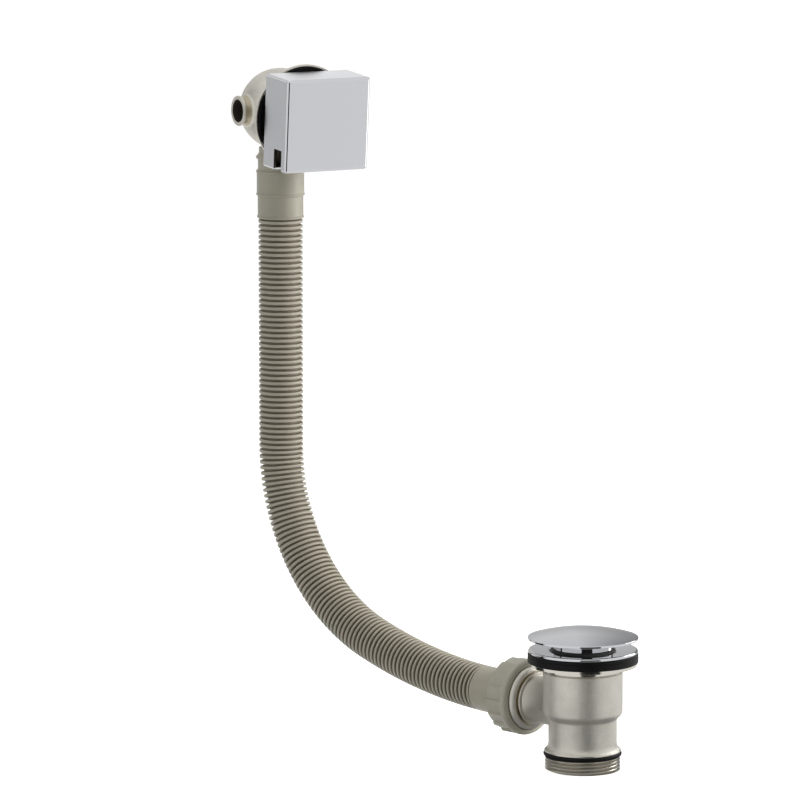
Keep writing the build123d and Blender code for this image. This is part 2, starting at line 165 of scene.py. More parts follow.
def set_tint(tree, shader, pattern, dark, light, spread=(0.0, 1.0)):
    """Lets the colour follow a pattern between two shades."""
    tint = add(tree, "ShaderNodeValToRGB", {"Fac": pattern})
    for stop, shade, place in zip(tint.color_ramp.elements, (dark, light), spread):
        stop.position = place
        stop.color = linear(shade)
    tree.links.new(tint.outputs["Color"], shader.inputs["Base Color"])


def worked_metal(name, shade, marks, sharpest, dullest, detail=2.0):
    """Metal of one shade, with a gloss that changes over marks of a real size."""
    material, tree, shader = new_material(name)
    set_gloss(tree, shader, noise(tree, marks, detail), sharpest, dullest)
    shader.inputs["Base Color"].default_value = linear(shade)
    shader.inputs["Metallic"].default_value = 1.0
    return material


def bright_chrome(name, sharpest, dullest):
    """Chrome plate on polished brass: a cool mirror, or a satin one, with a faint wiped haze."""
    return worked_metal(name, "#C9CACD", 14 * MM, sharpest, dullest, detail=3.0)


def turned_nickel(name, shade, sharpest, dullest):
    """Nickel plate on turned brass: smoother than the casting, with a faint uneven sheen. Its darker shades
    serve as painted shade in grooves, bores and the cover's inside.
    """
    return worked_metal(name, shade, 4 * MM, sharpest, dullest, detail=3.0)


def turned_brass():
    """Turned brass: yellow metal with fine lathe marks."""
    return worked_metal("turned_brass", "#C9A862", 0.8 * MM, sharpest=0.2, dullest=0.36)


def drawn_steel():
    """Drawn stainless wire: grey metal with a fine drawn grain."""
    return worked_metal("drawn_spring_steel", "#B4B5B6", 0.6 * MM, sharpest=0.22, dullest=0.4)


def blasted_nickel():
    """Nickel plate on a grit-blasted brass casting: warm satin grey with a sandy grain."""
    material, tree, shader = new_material("blasted_nickel_casting")
    grain = noise(tree, 0.8 * MM)
    cloud = noise(tree, 9 * MM)
    mottle = add(tree, "ShaderNodeMix", {"Factor": 0.55, "A": cloud, "B": grain})
    set_tint(tree, shader, mottle.outputs["Result"], dark="#C0BDB4", light="#D4D1C8", spread=(0.3, 0.7))
    set_gloss(tree, shader, grain, sharpest=0.42, dullest=0.54)
    bump = add(tree, "ShaderNodeBump", {"Height": grain, "Strength": 0.8, "Distance": 0.2 * MM})
    tree.links.new(bump.outputs["Normal"], shader.inputs["Normal"])
    shader.inputs["Metallic"].default_value = 1.0
    return material


def moulded_rubber(name, dark, light):
    """Moulded rubber: dark and dull, with a faint bloom."""
    material, tree, shader = new_material(name)
    bloom = noise(tree, 3 * MM, detail=3.0)
    set_tint(tree, shader, bloom, dark, light)
    set_gloss(tree, shader, bloom, sharpest=0.44, dullest=0.56)
    shader.inputs["Specular IOR Level"].default_value = 0.16
    return material


def moulded_polypropylene(name, dark, light):
    """Moulded polypropylene: matt, with a slight waxy shine and faint flow clouds."""
    material, tree, shader = new_material(name)
    flow = noise(tree, 11 * MM)
    set_tint(tree, shader, flow, dark, light)
    set_gloss(tree, shader, flow, sharpest=0.34, dullest=0.46)
    shader.inputs["IOR"].default_value = 1.49
    return material


CHROME = bright_chrome("bright_chrome_plate", sharpest=0.03, dullest=0.08)
COVER_CHROME = bright_chrome("satin_chrome_pressing", sharpest=0.28, dullest=0.34)
NICKEL = blasted_nickel()
TURNED_NICKEL = turned_nickel("turned_nickel_plate", "#CFCBC2", sharpest=0.12, dullest=0.17)
SATIN_NICKEL = turned_nickel("satin_nickel_plate", "#CCC8BF", sharpest=0.26, dullest=0.31)
# Darker nickel for the thread roots, the hub grooves and the socket's neck: painted shade
PAINTED_SHADE_NICKEL = turned_nickel("nickel_painted_shade", "#AEA590", sharpest=0.34, dullest=0.42)
# Dark metal of the bores and of the parts inside the cover: the bores' dull cast finish, darkened further as
# painted shade
BORE_AND_SHADE = turned_nickel("dull_cast_bore_and_painted_shade", "#6A655A", sharpest=0.5, dullest=0.62)
# Dark inside of the cover: the unplated pressing, darkened further as painted shade
RAW_INSIDE_AND_SHADE = turned_nickel("raw_pressing_inside_and_painted_shade", "#454037", sharpest=0.5, dullest=0.62)
RUBBER = moulded_rubber("moulded_black_rubber", dark="#030303", light="#070707")
# Grey rubber for the plug seal: the grey stands in for the light that its lip catches, a painted sheen
RUBBER_PAINTED_SHEEN = moulded_rubber("rubber_painted_grey_sheen", dark="#4A4A48", light="#565654")
HOSE_PLASTIC = moulded_polypropylene("moulded_hose_polypropylene", dark="#A29D8D", light="#AEA999")
# Darker copy of the hose plastic for the faces deep in the grooves: painted shade
GROOVE_SHADE_PLASTIC = moulded_polypropylene("hose_polypropylene_painted_groove_shade", dark="#7B7261", light="#877E6C")
CUFF_PLASTIC = moulded_polypropylene("moulded_cuff_polypropylene", dark="#999586", light="#A4A091")
NUT_PLASTIC = moulded_polypropylene("moulded_nut_polypropylene", dark="#A9A697", light="#B4B1A1")
WHITE_PLASTIC = moulded_polypropylene("moulded_white_nylon", dark="#DDDAD3", light="#E6E4DE")
BRASS = turned_brass()
STEEL = drawn_steel()

FINISHES = {
    "chrome_plate": CHROME,
    "nickel_casting": NICKEL,
    "brass": BRASS,
    "spring_steel": STEEL,
    "black_rubber": RUBBER,
    "beige_plastic": HOSE_PLASTIC,
    "white_plastic": WHITE_PLASTIC,
}
# The parts inside the cover take the dark bore metal in place of their own finish: painted shade
INSIDE_SHADE_FINISHES = {"clamp_plate": BORE_AND_SHADE, "fill_spigot": BORE_AND_SHADE}


def finish_nodes():
    """Gives each solid the finish of its slot, or, for the parts inside the cover, the dark bore metal as
    painted shade.
    """
    for row in frame["record"]["subparts"]:
        mesh = frame["nodes"][row["node"]].data
        mesh.materials.clear()
        mesh.materials.append(INSIDE_SHADE_FINISHES.get(row["node"], FINISHES[row["material_slot"]]))


# Modelling steps that several pieces share

def make_active(piece):
    """Selects one piece alone."""
    bpy.ops.object.select_all(action="DESELECT")
    piece.select_set(True)
    bpy.context.view_layer.objects.active = piece


def arc(middle, radius, start, sweep, steps):
    """Points of a round stretch of an outline, with angles from straight down and outwards."""
    angles = [start + sweep * step / steps for step in range(steps + 1)]
    return [(middle[0] + radius * sin(angle), middle[1] - radius * cos(angle)) for angle in angles]


def drawn(name, points, base=0.0):
    """Line drawn point by point, as radius and height in millimetres, and left in edit mode."""
    bpy.ops.object.select_all(action="DESELECT")
    bpy.ops.mesh.primitive_plane_add(size=MM)
    piece = bpy.context.object
    piece.name = name
    bpy.ops.object.mode_set(mode="EDIT")
    bpy.ops.mesh.select_mode(type="VERT")
    bpy.ops.mesh.select_all(action="SELECT")
    bpy.ops.mesh.merge(type="CENTER")
    bpy.ops.transform.translate(value=(points[0][0] * MM, 0.0, (base + points[0][1]) * MM))
    for (radius, height), (next_radius, next_height) in zip(points, points[1:]):
        step = ((next_radius - radius) * MM, 0.0, (next_height - height) * MM)
        bpy.ops.mesh.extrude_region_move(TRANSFORM_OT_translate={"value": step})
    bpy.ops.mesh.select_all(action="SELECT")
    bpy.ops.mesh.remove_doubles(threshold=WELD)
    return piece


def spun(name, outline, sides=SIDES):
    """Half section spun round Z: a solid where it starts on the axis, and otherwise a closed ring."""
    on_axis = outline[0][0] * MM < WELD
    piece = drawn(name, outline if on_axis else outline + outline[:1])
    bpy.ops.mesh.spin(steps=sides, angle=2 * pi, center=(0.0, 0.0, 0.0), axis=(0.0, 0.0, 1.0))
    bpy.ops.mesh.select_all(action="SELECT")
    bpy.ops.mesh.remove_doubles(threshold=WELD)
    bpy.ops.mesh.normals_make_consistent(inside=False)
    bpy.ops.object.mode_set(mode="OBJECT")
    return piece


def level_rod(name, outline, turn=0.0):
    """Spun solid laid level along -Y, or turned from there."""
    piece = spun(name, outline)
    set_down(piece, (0.0, 0.0, 0.0), (pi / 2, 0.0, turn))
    return piece


def block(name, size, middle):
    """Plain box by its size and its middle, in millimetres."""
    bpy.ops.object.select_all(action="DESELECT")
    bpy.ops.mesh.primitive_cube_add(size=MM)
    piece = bpy.context.object
    piece.name = name
    piece.scale = size
    piece.location = [value * MM for value in middle]
    bpy.ops.object.transform_apply(location=True, rotation=True, scale=True)
    return piece


def set_down(piece, location, turn=(0.0, 0.0, 0.0)):
    """Turns a piece, moves it to its place and leaves it unturned at the origin."""
    make_active(piece)
    piece.rotation_euler = turn
    piece.location = location
    bpy.ops.object.transform_apply(location=True, rotation=True, scale=True)


def combine(piece, tool, operation):
    """Joins a second solid to a piece, cuts it away, or keeps what both share."""
    make_active(piece)
    change = piece.modifiers.new("combine", "BOOLEAN")
    change.operation = operation
    change.solver = "EXACT"
    change.object = tool
    bpy.ops.object.modifier_apply(modifier="combine")
    bpy.data.objects.remove(tool)


def soften(piece, width, segments=3):
    """Rounds the sharp edges of a piece and keeps its faces flat between them."""
    make_active(piece)
    bpy.ops.object.shade_smooth()
    edges = piece.modifiers.new("soft_edges", "BEVEL")
    edges.width = width * MM
    edges.segments = segments
    edges.limit_method = "ANGLE"
    edges.angle_limit = radians(28)
    edges.harden_normals = True
    bpy.ops.object.modifier_apply(modifier="soft_edges")


def close_up(piece):
    """Merges the points that cuts and rounded edges left together, and closes pinholes."""
    make_active(piece)
    bpy.ops.object.mode_set(mode="EDIT")
    bpy.ops.mesh.select_mode(type="VERT")
    bpy.ops.mesh.select_all(action="SELECT")
    bpy.ops.mesh.remove_doubles(threshold=WELD)
    bpy.ops.mesh.dissolve_degenerate(threshold=WELD / 2)
    bpy.ops.mesh.select_all(action="SELECT")
    bpy.ops.mesh.fill_holes(sides=0)
    bpy.ops.mesh.select_all(action="SELECT")
    bpy.ops.mesh.delete_loose()
    bpy.ops.object.mode_set(mode="OBJECT")


def even_normals(piece, angle):
    """Smooth shading up to an angle in degrees, with the large faces kept flat."""
    make_active(piece)
    bpy.ops.object.shade_smooth_by_angle(angle=radians(angle))
    even = piece.modifiers.new("even_normals", "WEIGHTED_NORMAL")
    even.keep_sharp = True
    bpy.ops.object.modifier_apply(modifier="even_normals")


def pick(piece, kind, wanted):
    """Selects the vertices, edges or faces of a piece that answer a test, and leaves it in edit mode."""
    make_active(piece)
    bpy.ops.object.mode_set(mode="EDIT")
    bpy.ops.mesh.select_mode(type=kind)
    bpy.ops.mesh.select_all(action="DESELECT")
    bpy.ops.object.mode_set(mode="OBJECT")
    for item in {"VERT": piece.data.vertices, "EDGE": piece.data.edges, "FACE": piece.data.polygons}[kind]:
        item.select = wanted(item)
    bpy.ops.object.mode_set(mode="EDIT")


def coat(piece, finishes, finish_at=None):
    """Gives a piece its finishes, and each face its own where a test is given for that."""
    for finish in finishes:
        piece.data.materials.append(finish)
    if finish_at:
        for face in piece.data.polygons:
            face.material_index = finishes.index(finish_at(face))


def hand_in(piece, node, body="fitting"):
    """Puts a modelled piece in the place of its solid."""
    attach(piece, body)
    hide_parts(node)


# Waste

def plug_cap():
    """Domed cap with a fine rounded rim, and the boss underneath that carries the seal and takes the stem."""
    dome, top, rim, steps = 119.88, 15.3, 35.25, 22
    outline = arc((0.0, top - dome), dome, pi, -asin(rim / dome), steps)
    outline += [(rim, 8.6), (18.8, 8.6), (18.8, 2.4), (17.5, 2.4)]
    outline += [(17.5, 0.6), (4.1, 0.6), (4.1, 5.6), (0.0, 5.6)]
    piece = spun("domed_plug_cap", outline)
    soften(piece, width=0.4)
    coat(piece, [CHROME])
    hand_in(piece, "plug_cap", "plug")


def plug_seal():
    """Ring of rubber under the boss, grey as a painted sheen, with a rounded lip that shuts in the flange's
    mouth.
    """
    outline = [(17.6, 0.7), (20.3, 0.7), (20.7, 0.95), (20.9, 1.4), (20.7, 1.85), (20.3, 2.1)]
    outline += [(19.0, 2.3), (17.6, 2.3)]
    piece = spun("plug_seal_ring", outline)
    even_normals(piece, angle=40)
    coat(piece, [RUBBER_PAINTED_SHEEN])
    hand_in(piece, "plug_seal", "plug")


def waste_flange():
    """Flange with a rounded rim, a shallow dish, a rolled mouth, a tail and a three-armed spider."""
    arms = 3
    mouth_round, rim_round, steps = 2.3, 1.4, 8
    outline = arc((22.5, -0.9), mouth_round, 3 * pi / 2, -pi / 2, steps)
    outline += arc((33.6, 0.8), rim_round, pi, -pi / 2, steps)
    outline += [(34.95, 0.5), (34.8, 0.25), (34.5, 0.08), (34.1, 0.0)]
    outline += [(22.4, 0.0), (22.4, -23.5), (20.2, -23.5)]
    piece = spun("dished_waste_flange", outline)
    combine(piece, spun("spider_hub", [(8.1, -13.0), (10.6, -13.0), (10.6, -8.0), (8.1, -8.0)]), "UNION")
    for arm in range(arms):
        bar = block("spider_arm", (11.8, 4.0, 5.0), (15.4, 0.0, -10.5))
        set_down(bar, (0.0, 0.0, 0.0), (0.0, 0.0, 2 * pi * arm / arms))
        combine(piece, bar, "UNION")
    close_up(piece)
    even_normals(piece, angle=32)
    coat(piece, [CHROME])
    hand_in(piece, "waste_flange")


def seals():
    """Thin seal on the bath floor and the thicker one below it, with soft moulded edges."""
    inner, outer = 22.65, 35.2
    for node, top, bottom in (("top_seal", 0.0, -2.0), ("bottom_seal", -2.0, -6.1)):
        piece = spun(node + "_ring", [(inner, top), (outer, top), (outer, bottom), (inner, bottom)])
        soften(piece, width=0.35)
        coat(piece, [RUBBER])
        hand_in(piece, node)


def outlet_thread():
    """Right-hand thread of the outlet: one tooth drawn, wound up the tube and trimmed to length."""
    pitch, root, crest, top, bottom = 2.309, 22.2, 23.9, -66.65, -75.4
    turns, steps = 8, 96
    tooth = [(root, -1.1), (crest - 0.2, -0.45), (crest, -0.25)]
    tooth += [(crest, 0.25), (crest - 0.2, 0.45), (root, 1.1), (root, -1.1)]
    # The thread starts two turns below the tube's end, so that the trim leaves full teeth there
    piece = drawn("outlet_thread", tooth, bottom - 2 * pitch)
    bpy.ops.object.mode_set(mode="OBJECT")
    wind = piece.modifiers.new("wind", "SCREW")
    wind.axis = "Z"
    wind.angle = 2 * pi * turns
    wind.screw_offset = pitch * turns * MM
    wind.steps = steps * turns
    wind.render_steps = steps * turns
    bpy.ops.object.modifier_apply(modifier="wind")
    bpy.ops.object.mode_set(mode="EDIT")
    bpy.ops.mesh.select_all(action="SELECT")
    bpy.ops.mesh.fill_holes(sides=0)
    bpy.ops.mesh.select_all(action="SELECT")
    bpy.ops.mesh.normals_make_consistent(inside=False)
    bpy.ops.object.mode_set(mode="OBJECT")
    combine(piece, spun("sleeve", [(21.0, top), (25.0, top), (25.0, bottom), (21.0, bottom)]), "INTERSECT")
    close_up(piece)
    bpy.ops.object.shade_smooth_by_angle(angle=radians(25))
    return piece


def waste_finish(face):
    """Finish of one face of the waste: dull bores darkened as painted shade, darker nickel as painted shade
    in the thread roots and hub grooves, turned or satin rings, blasted wall.
    """
    neck, collar, thread_top = -11.9 * MM, -62.6 * MM, -66.7 * MM
    bore, thread_root, thread_crest = 22.6 * MM, 22.8 * MM, 23.4 * MM
    inlet_bore, inlet_bore_start = 15.0 * MM, 15.0 * MM
    bead_start, bead_end = 38.8 * MM, 41.0 * MM
    # Start, end and reach of each groove round the inlet's hub
    grooves = ((40.5 * MM, 42.05 * MM, 17.9 * MM), (45.3 * MM, 46.5 * MM, 20.7 * MM))
    faces_inward = -0.4

    middle = face.center
    along = middle.dot(INLET_OUT)
    from_axis = Vector((middle.x, middle.y, 0.0))
    from_inlet = middle - INLET_OUT * along - Vector(INLET_PLACE)
    in_barrel = from_axis.length < bore and face.normal.dot(from_axis.normalized()) < faces_inward
    in_inlet = from_inlet.length < inlet_bore and face.normal.dot(from_inlet.normalized()) < faces_inward
    in_thread = middle.z < thread_top and from_axis.length < thread_root
    in_groove = any(start < along < end and from_inlet.length < reach for start, end, reach in grooves)
    # Bores take the dark bore metal: their dull cast finish, darkened as painted shade
    if in_barrel or (in_inlet and along > inlet_bore_start):
        return BORE_AND_SHADE
    # Thread roots and hub grooves take the darker nickel: painted shade
    if in_thread or in_groove:
        return PAINTED_SHADE_NICKEL
    if middle.z > neck or (middle.z < thread_top and from_axis.length > thread_crest):
        return TURNED_NICKEL
    if middle.z < collar or bead_start < along < bead_end:
        return SATIN_NICKEL
    return NICKEL


def waste_body():
    """Cast tee: turned flange and neck, blasted barrel with a soft shoulder, threaded outlet, side inlet."""
    barrel = [(0.0, -6.1), (34.6, -6.1), (34.6, -8.1), (25.9, -8.1), (25.2, -8.6), (25.1, -9.2)]
    barrel += [(25.1, -11.2), (24.6, -11.5), (24.6, -11.9), (25.4, -12.3), (25.4, -14.2)]
    barrel += [(25.4, -37.4), (25.2, -38.6), (24.6, -39.8), (23.7, -40.8), (22.7, -41.7)]
    barrel += [(22.05, -42.6), (21.8, -43.6), (21.8, -57.9), (21.95, -59.2), (22.4, -60.5), (23.1, -61.6)]
    barrel += [(24.0, -62.4), (24.4, -62.75), (24.4, -63.6), (22.0, -63.6), (22.0, -66.6), (23.2, -66.6)]
    barrel += [(22.5, -67.2), (22.5, -75.1), (21.9, -75.6), (0.0, -75.6)]
    piece = spun("cast_waste_body", barrel)
    soften(piece, width=0.22, segments=2)
    hub = [(0.0, 6.0), (15.0, 6.0), (15.0, 38.7), (15.3, 39.1), (16.5, 39.2), (17.0, 39.5), (17.2, 39.9)]
    hub += [(17.0, 40.3), (16.5, 40.6), (15.4, 40.7), (15.4, 41.9), (17.8, 42.0), (18.5, 42.3), (19.3, 43.0)]
    hub += [(20.0, 43.9), (20.5, 44.8), (20.5, 45.4), (20.1, 45.6), (20.1, 46.2), (20.9, 46.6), (20.9, 57.0)]
    hub += [(0.0, 57.0)]
    inlet = spun("inlet", hub)
    soften(inlet, width=0.2, segments=2)
    set_down(inlet, INLET_PLACE, INLET_LAY)
    combine(piece, inlet, "UNION")
    bore = [(0.0, -5.0), (22.5, -5.0), (22.5, -39.1), (19.2, -43.2), (19.2, -77.0), (0.0, -77.0)]
    combine(piece, spun("bore", bore), "DIFFERENCE")
    way = spun("way", [(0.0, 0.0), (12.2, 0.0), (12.2, 48.3), (14.95, 48.3), (14.95, 58.0), (0.0, 58.0)])
    set_down(way, INLET_PLACE, INLET_LAY)
    combine(piece, way, "DIFFERENCE")
    close_up(piece)
    bpy.ops.object.shade_smooth_by_angle(angle=radians(34))
    thread = outlet_thread()
    make_active(piece)
    thread.select_set(True)
    bpy.ops.object.join()
    coat(piece, [NICKEL, TURNED_NICKEL, SATIN_NICKEL, BORE_AND_SHADE, PAINTED_SHADE_NICKEL], waste_finish)
    hand_in(piece, "waste_body")


# Hose

def union_nut():
    """Moulded nut: a smooth rounded end, then sixteen flats that overlap like shingles."""
    flats = 16
    slot = 2 * pi / flats
    step_turn = radians(1.6)
    step_scale = 0.932
    bpy.ops.object.select_all(action="DESELECT")
    bpy.ops.mesh.primitive_cylinder_add(
        vertices=2 * flats, radius=24.4 * MM, depth=13.4 * MM, location=(0.0, 0.0, 56.6 * MM)
    )
    piece = bpy.context.object
    piece.name = "moulded_union_nut"
    bpy.ops.object.transform_apply(location=True)
    # Every second corner is drawn in and turned close to the next one, which leaves a small step there
    pick(piece, "VERT", lambda vertex: round(atan2(vertex.co.y, vertex.co.x) / slot * 2) % 2 == 1)
    bpy.ops.transform.resize(value=(step_scale, step_scale, 1.0), center_override=(0.0, 0.0, 0.0))
    bpy.ops.transform.rotate(value=slot / 2 - step_turn, orient_axis="Z", center_override=(0.0, 0.0, 0.0))
    bpy.ops.object.mode_set(mode="OBJECT")
    envelope = [(0.0, 49.9), (24.5, 49.9), (24.5, 61.2), (24.2, 62.2), (23.5, 62.9), (22.6, 63.2)]
    envelope += [(0.0, 63.2)]
    combine(piece, spun("envelope", envelope), "INTERSECT")
    rim = [(0.0, 45.7), (22.1, 45.7), (23.2, 46.1), (24.0, 46.9), (24.4, 48.1), (24.4, 49.4), (24.2, 50.2)]
    rim += [(23.7, 50.8), (22.8, 51.2), (0.0, 51.2)]
    combine(piece, spun("rim", rim), "UNION")
    bore = [(0.0, 44.0), (21.05, 44.0), (21.05, 61.2), (14.95, 61.2), (14.95, 64.0), (0.0, 64.0)]
    combine(piece, spun("nut_bore", bore), "DIFFERENCE")
    close_up(piece)
    soften(piece, width=0.12, segments=2)
    close_up(piece)
    set_down(piece, INLET_PLACE, INLET_LAY)
    coat(piece, [NUT_PLASTIC])
    hand_in(piece, "union_nut")


def bead(radius, height, stand, width):
    """Half section of a rounded grip bead, from its top to its foot."""
    shape = [(0.0, 0.5), (0.62, 0.36), (0.92, 0.18), (1.0, 0.0), (0.92, -0.18), (0.62, -0.36), (0.0, -0.5)]
    return [(radius + stand * rise, height + width * place) for rise, place in shape]


def hose_cuff():
    """Moulded cuff that joins the hose to the head, with rounded grip beads."""
    outline = [(12.7, -25.3), (14.2, -25.3), (14.2, -29.2), (14.9, -29.7)]
    outline += bead(radius=14.9, height=-31.9, stand=1.3, width=3.0)
    outline += [(14.9, -39.9), (15.7, -40.3)]
    outline += bead(radius=15.7, height=-41.4, stand=0.5, width=1.5)
    outline += bead(radius=15.7, height=-56.4, stand=0.5, width=1.5)
    outline += [(15.7, -57.3), (15.1, -57.7)]
    outline += bead(radius=15.1, height=-71.4, stand=0.55, width=1.6)
    outline += [(15.1, -72.4), (13.7, -72.4), (13.7, -53.3), (12.7, -53.3)]
    piece = spun("moulded_hose_cuff", outline)
    soften(piece, width=0.15, segments=2)
    close_up(piece)
    set_down(piece, HEAD_PLACE)
    coat(piece, [CUFF_PLASTIC])
    hand_in(piece, "hose_top_cuff")


def hose_curve():
    """Centre line of the hose: a straight start, a long approach arc, the main sweep and a straight rise."""
    up = Vector((0.0, 0.0, 1.0))
    bend = pi / 2 - APPROACH_ANGLE
    slope = INLET_OUT * cos(APPROACH_ANGLE) + up * sin(APPROACH_ANGLE)
    start = INLET_OUT * HOSE_START + up * INLET_HEIGHT
    straight_end = INLET_OUT * HOSE_STRAIGHT + up * INLET_HEIGHT
    approach_end = straight_end + APPROACH_RADIUS * (
        INLET_OUT * sin(APPROACH_ANGLE) + up * (1 - cos(APPROACH_ANGLE))
    )
    sweep_end = approach_end + SWEEP_RADIUS * (
        INLET_OUT * (1 - sin(APPROACH_ANGLE)) + up * cos(APPROACH_ANGLE)
    )
    top = Vector((sweep_end.x, sweep_end.y, HOSE_TOP))
    third = (HOSE_STRAIGHT - HOSE_START) / 3
    # A handle of this length makes a Bezier stretch follow an arc
    approach_handle = 4 / 3 * tan(APPROACH_ANGLE / 4) * APPROACH_RADIUS
    sweep_handle = 4 / 3 * tan(bend / 4) * SWEEP_RADIUS
    rise = (top - sweep_end).length / 3
    knots = [
        (start, INLET_OUT, third, third),
        (straight_end, INLET_OUT, third, approach_handle),
        (approach_end, slope, approach_handle, sweep_handle),
        (sweep_end, up, sweep_handle, rise),
        (top, up, rise, rise),
    ]
    bpy.ops.curve.primitive_bezier_curve_add(location=(0, 0, 0))
    curve = bpy.context.object
    curve.name = "hose_route"
    spline = curve.data.splines[0]
    spline.bezier_points.add(len(knots) - len(spline.bezier_points))
    for point, (place, heading, before, after) in zip(spline.bezier_points, knots):
        point.handle_left_type = "FREE"
        point.handle_right_type = "FREE"
        point.co = place
        point.handle_left = place - heading * before
        point.handle_right = place + heading * after
    curve.data.resolution_u = 64
    length = HOSE_STRAIGHT - HOSE_START + APPROACH_RADIUS * APPROACH_ANGLE + SWEEP_RADIUS * bend
    return curve, length + HOSE_TOP - sweep_end.z


def extrude_ring(advance, scale, centre):
    """Extrudes the selected ring along X and scales it about the axis."""
    bpy.ops.mesh.extrude_region_move(TRANSFORM_OT_translate={"value": (advance, 0.0, 0.0)})
    bpy.ops.transform.resize(value=(1.0, scale, scale), center_override=centre)


def rib_finish(face):
    """Finish of one face of a rib: a darker plastic deep in its groove, as painted shade."""
    in_groove = Vector(face.center.yz).length < HOSE_GROOVE + GROOVE_SHADE
    return GROOVE_SHADE_PLASTIC if in_groove else HOSE_PLASTIC


def one_rib(pitch):
    """One rounded rib of the hose, from groove to groove along X."""
    # Place along the pitch, and how far the wall rises there from groove to crest
    profile = [(0.11, 0.03), (0.17, 0.4), (0.23, 0.84), (0.33, 0.98), (0.5, 1.0)]
    profile += [(0.67, 0.98), (0.77, 0.84), (0.83, 0.4), (0.89, 0.03), (1.0, 0.0)]
    bpy.ops.object.select_all(action="DESELECT")
    bpy.ops.mesh.primitive_circle_add(vertices=HOSE_SIDES, radius=HOSE_GROOVE, rotation=(0, pi / 2, 0))
    piece = bpy.context.object
    piece.name = "corrugated_hose"
    bpy.ops.object.transform_apply(rotation=True)
    bpy.ops.object.mode_set(mode="EDIT")
    bpy.ops.mesh.select_all(action="SELECT")
    before, radius = 0.0, HOSE_GROOVE
    for place, rise in profile:
        wanted = HOSE_GROOVE + rise * (HOSE_CREST - HOSE_GROOVE)
        extrude_ring((place - before) * pitch, wanted / radius, (place * pitch, 0.0, 0.0))
        before, radius = place, wanted
    bpy.ops.object.mode_set(mode="OBJECT")
    coat(piece, [HOSE_PLASTIC, GROOVE_SHADE_PLASTIC], rib_finish)
    return piece


def plain_ends(piece, rib_end, length):
    """Plain ends drawn out from the first and the last groove, and the bore from one to the other."""
    steps = 8
    bore_cuts = 60
    pick(piece, "VERT", lambda vertex: abs(vertex.co.x - HOSE_PLAIN_END) < NEAR)
    extrude_ring(0.0, HOSE_CREST / HOSE_GROOVE, (HOSE_PLAIN_END, 0.0, 0.0))
    for _ in range(steps):
        extrude_ring(-HOSE_PLAIN_END / steps, 1.0, (0.0, 0.0, 0.0))
    extrude_ring(0.0, HOSE_BORE / HOSE_CREST, (0.0, 0.0, 0.0))
    bpy.ops.object.mode_set(mode="OBJECT")
    pick(piece, "VERT", lambda vertex: abs(vertex.co.x - rib_end) < NEAR)
    extrude_ring(0.0, HOSE_SPIGOT / HOSE_GROOVE, (rib_end, 0.0, 0.0))
    extrude_ring(length - rib_end, 1.0, (length, 0.0, 0.0))
    extrude_ring(0.0, HOSE_BORE / HOSE_SPIGOT, (length, 0.0, 0.0))
    bpy.ops.mesh.select_all(action="DESELECT")
    bpy.ops.mesh.select_mode(type="EDGE")
    bpy.ops.mesh.select_non_manifold()
    bpy.ops.mesh.bridge_edge_loops(number_cuts=bore_cuts, interpolation="LINEAR")
    bpy.ops.mesh.select_all(action="SELECT")
    bpy.ops.mesh.normals_make_consistent(inside=False)
    bpy.ops.object.mode_set(mode="OBJECT")
    # What is drawn out of a groove starts with its painted groove shade, and takes the plain finish, which
    # comes first
    for face in piece.data.polygons:
        if not HOSE_PLAIN_END < face.center.x < rib_end:
            face.material_index = 0


def hose():
    """Corrugated hose: one rounded rib, repeated and bent along the route, with plain ends and a bore."""
    curve, length = hose_curve()
    rib_end = length - (HOSE_TOP - RIB_TOP)
    pitch = (rib_end - HOSE_PLAIN_END) / HOSE_RIBS
    piece = one_rib(pitch)
    row = piece.modifiers.new("ribs", "ARRAY")
    row.count = HOSE_RIBS
    row.use_relative_offset = False
    row.use_constant_offset = True
    row.constant_offset_displace = (pitch, 0.0, 0.0)
    row.use_merge_vertices = True
    row.merge_threshold = 0.02 * MM
    bpy.ops.object.modifier_apply(modifier="ribs")
    piece.location.x = HOSE_PLAIN_END
    bpy.ops.object.transform_apply(location=True)
    plain_ends(piece, rib_end, length)
    bend = piece.modifiers.new("bend", "CURVE")
    bend.object = curve
    bend.deform_axis = "POS_X"
    bpy.ops.object.modifier_apply(modifier="bend")
    bpy.ops.object.shade_smooth_by_angle(angle=radians(50))
    bpy.data.objects.remove(curve)
    hand_in(piece, "hose")


# Overflow head

def head_finish(face):
    """Finish of one face of the head, not yet set down: dull inside darkened as painted shade, turned lip,
    darker nickel as painted shade on the socket neck.
    """
    ball_inside = 25.4 * MM
    socket_mouth, socket_bore = -17.0 * MM, 7.7 * MM
    bell_mouth, bell_bore = -16.0 * MM, 26.6 * MM
    lip_start, lip_inner = -30.0 * MM, 33.2 * MM
    neck_outer_end, neck_inner_end, neck_reach = -29.7 * MM, -26.0 * MM, 10.0 * MM

    middle = face.center
    from_mouth = Vector((middle.x, 0.0, middle.z))
    from_socket = Vector((0.0, middle.y, middle.z))
    in_socket = middle.x < socket_mouth and from_socket.length < socket_bore
    in_mouth = middle.y < bell_mouth and from_mouth.length < bell_bore
    # The hollow of the bell and its inward faces take the dark bore metal: painted shade
    if middle.length < ball_inside:
        return BORE_AND_SHADE
    if in_socket and face.normal.dot(from_socket) < 0 or in_mouth and face.normal.dot(from_mouth) < 0:
        return BORE_AND_SHADE
    if middle.y < lip_start and from_mouth.length > lip_inner:
        return TURNED_NICKEL
    # The socket's neck takes the darker nickel: painted shade
    if neck_outer_end < middle.x < neck_inner_end and from_socket.length < neck_reach:
        return PAINTED_SHADE_NICKEL
    return NICKEL


